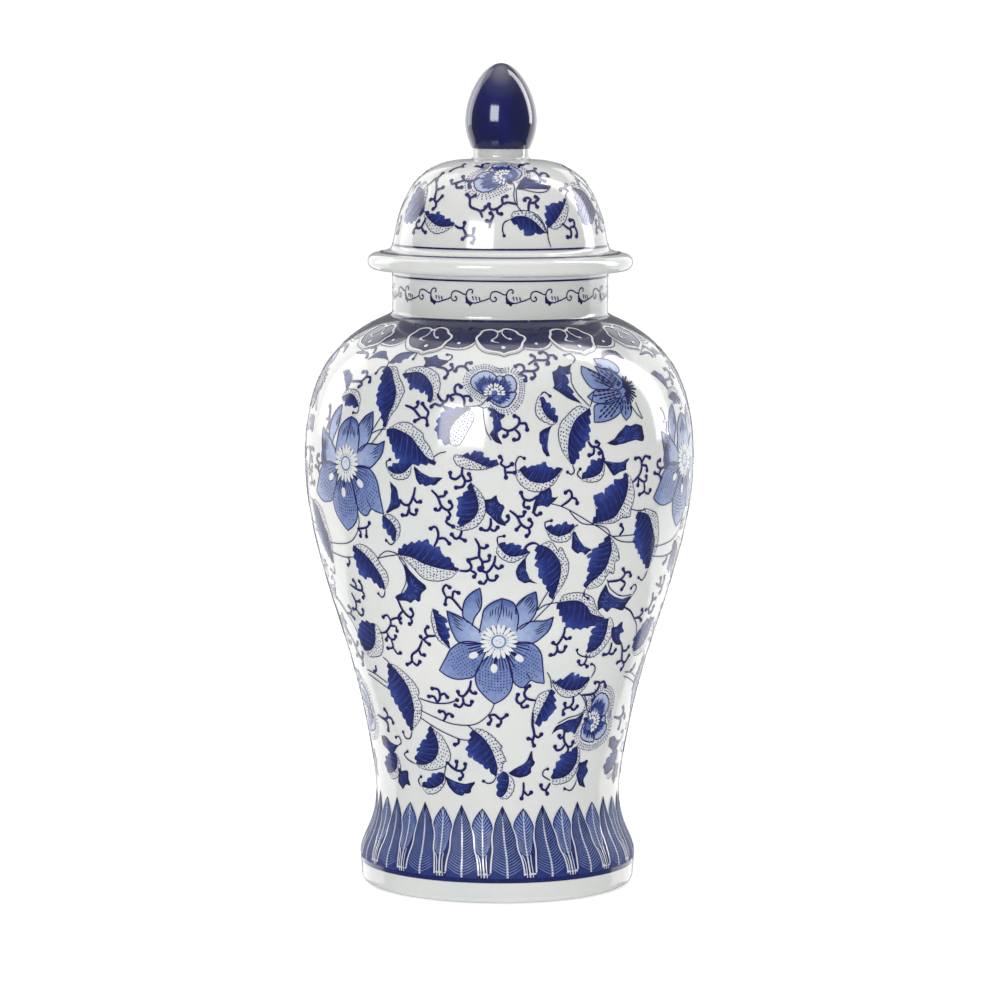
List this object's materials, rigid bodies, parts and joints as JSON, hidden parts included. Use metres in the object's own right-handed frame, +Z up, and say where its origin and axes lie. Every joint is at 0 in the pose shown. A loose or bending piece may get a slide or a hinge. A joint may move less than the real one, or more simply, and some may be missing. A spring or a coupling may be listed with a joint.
{
  "type": "ginger jar",
  "caption": "Tall lidded temple jar with a baluster body, straight neck, domed lift-off lid with a locating skirt, and an egg-shaped knob.",
  "frame": {"origin": "centre of the foot ring, on the surface that the jar stands on", "axes": "+Z up along the axis of revolution; X and Y are alike in the turned shape, and -Y is the side that the painted pattern is centred on"},
  "size_m": [0.2162, 0.2162, 0.457],
  "materials": {
    "white_glaze": "gloss",
    "cobalt_glaze": "gloss",
    "blue_wash": "gloss"
  },
  "bodies": {
    "jar": {"jar_body": "white_glaze"},
    "lid": {"lid": "white_glaze", "finial": "cobalt_glaze"}
  },
  "joints": [
    {"name": "lid_lift", "type": "slide", "parent": "jar", "child": "lid", "axis": [0, 0, 1], "range_m": [0, 0.15]}
  ]
}
